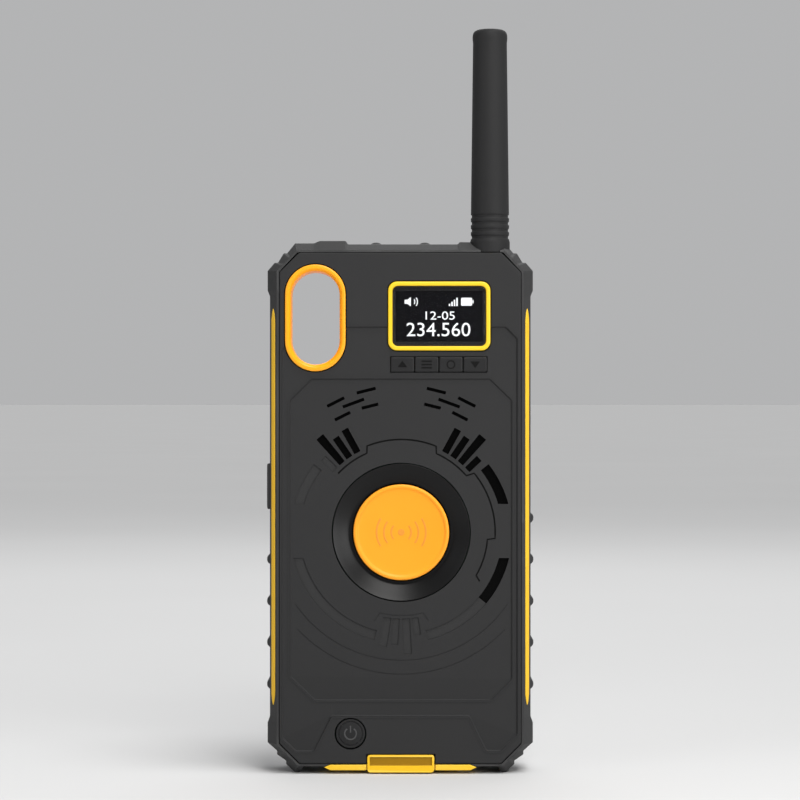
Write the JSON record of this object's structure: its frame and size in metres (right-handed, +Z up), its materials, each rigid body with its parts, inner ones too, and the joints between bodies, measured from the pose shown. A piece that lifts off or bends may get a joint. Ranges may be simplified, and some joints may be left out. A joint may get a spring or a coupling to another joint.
{
  "type": "two-way radio",
  "caption": "Rugged two-way radio built as a clip-on back-case for a phone, with display, function keys, push-to-talk disc, port flap and screw-on stub antenna.",
  "frame": {"origin": "centre of the bounding box's bottom face, on the plane through the bottom corner lobes", "axes": "+Z up towards the antenna's tip; the display faces -Y; the phone bay opens towards +Y; +X to the right seen from the display side"},
  "size_m": [0.0804, 0.0216, 0.2239],
  "materials": {
    "shell": "fine-grained charcoal hard plastic, satin",
    "rubber": "soft-touch charcoal rubber, matte",
    "orange_trim": "orange-yellow satin gloss plastic",
    "orange_disc": "orange satin plastic, dished",
    "yellow_trim": "yellow satin plastic inlay",
    "gloss_black": "piano-black gloss plastic",
    "display_glass": "clear hard-coated lens",
    "display_panel": null,
    "key_plastic": null,
    "antenna_rubber": "moulded antenna sleeve, matte",
    "gold": "gold-plated contact",
    "steel": "plain steel",
    "board": "green circuit board",
    "component": "black component plastic",
    "foam": "closed-cell foam",
    "battery_wrap": "battery wrap"
  },
  "bodies": {
    "case": {"bumper_frame": "rubber", "side_stripe_left": "yellow_trim", "side_stripe_right": "yellow_trim", "rear_cover": "shell", "phone_tray": "shell", "seal_gasket": "foam", "camera_ring": "orange_trim", "display_bezel": "yellow_trim", "display_window": "display_glass", "display_gasket": "foam", "display_module": "display_panel", "display_board": "board", "key_switch_1": "component", "key_switch_2": "component", "key_switch_3": "component", "key_switch_4": "component", "keypad_membrane": "foam", "ptt_recess": "gloss_black", "ptt_spring": "steel", "ptt_switch": "component", "grille_plate": "gloss_black", "speaker_frame": "steel", "speaker_cone": "component", "speaker_magnet": "steel", "main_board": "board", "rf_shield": "steel", "battery_cell": "battery_wrap", "battery_pad": "foam", "charge_board": "board", "charge_socket": "steel", "microphone": "gold", "side_talk_switch": "component", "power_switch": "component", "port_surround": "yellow_trim", "antenna_jack": "gold", "jack_insulator": "component", "jack_nut": "steel", "case_screw_1": "steel", "case_screw_2": "steel", "case_screw_3": "steel", "case_screw_4": "steel", "case_screw_5": "steel", "case_screw_6": "steel"},
    "ptt": {"ptt_button": "orange_disc"},
    "key_up_cap": {"key_up": "key_plastic"},
    "key_menu_cap": {"key_menu": "key_plastic"},
    "key_mode_cap": {"key_mode": "key_plastic"},
    "key_down_cap": {"key_down": "key_plastic"},
    "power_cap": {"power_button": "key_plastic"},
    "talk_cap": {"side_talk_key": "rubber"},
    "side_cap": {"side_key_cover": "rubber"},
    "volume_up_cap": {"volume_up_cover": "rubber"},
    "volume_down_cap": {"volume_down_cover": "rubber"},
    "antenna_carrier": {"antenna_pin": "gold"},
    "antenna": {"antenna_whip": "antenna_rubber", "antenna_connector": "gold", "antenna_core": "steel"},
    "flap": {"port_flap": "yellow_trim"}
  },
  "joints": [
    {"name": "ptt_press", "type": "slide", "parent": "case", "child": "ptt", "axis": [0, 1, 0], "range_m": [0, 0.0015], "stiffness_N_per_m": 900, "deforming": ["ptt_spring"]},
    {"name": "key_up_press", "type": "slide", "parent": "case", "child": "key_up_cap", "axis": [0, 1, 0], "range_m": [0, 0.0004], "stiffness_N_per_m": 600},
    {"name": "key_menu_press", "type": "slide", "parent": "case", "child": "key_menu_cap", "axis": [0, 1, 0], "range_m": [0, 0.0004], "stiffness_N_per_m": 600},
    {"name": "key_mode_press", "type": "slide", "parent": "case", "child": "key_mode_cap", "axis": [0, 1, 0], "range_m": [0, 0.0004], "stiffness_N_per_m": 600},
    {"name": "key_down_press", "type": "slide", "parent": "case", "child": "key_down_cap", "axis": [0, 1, 0], "range_m": [0, 0.0004], "stiffness_N_per_m": 600},
    {"name": "power_press", "type": "slide", "parent": "case", "child": "power_cap", "axis": [0, 1, 0], "range_m": [0, 0.0005], "stiffness_N_per_m": 600},
    {"name": "talk_press", "type": "slide", "parent": "case", "child": "talk_cap", "axis": [1, 0, 0], "range_m": [0, 0.0005], "stiffness_N_per_m": 900},
    {"name": "side_press", "type": "slide", "parent": "case", "child": "side_cap", "axis": [1, 0, 0], "range_m": [0, 0.00035], "stiffness_N_per_m": 900},
    {"name": "volume_up_press", "type": "slide", "parent": "case", "child": "volume_up_cap", "axis": [-1, 0, 0], "range_m": [0, 0.00035], "stiffness_N_per_m": 900},
    {"name": "volume_down_press", "type": "slide", "parent": "case", "child": "volume_down_cap", "axis": [-1, 0, 0], "range_m": [0, 0.00035], "stiffness_N_per_m": 900},
    {"name": "antenna_advance", "type": "slide", "parent": "case", "child": "antenna_carrier", "axis": [0, 0, 1], "range_m": [0, 0.00493]},
    {"name": "antenna_unscrew", "type": "hinge", "parent": "antenna_carrier", "child": "antenna", "pos_m": [0.0271, -0.0047, 0.19], "axis": [0, 0, 1], "range_deg": [0, 2520]},
    {"name": "flap_hinge", "type": "hinge", "parent": "case", "child": "flap", "pos_m": [0.0003, 0.001, 0.00035], "axis": [1, 0, 0], "range_deg": [0, 110]}
  ],
  "couplings": [
    {"joint": "antenna_unscrew", "follows": "antenna_advance", "rad_per_m": 8904.7}
  ]
}
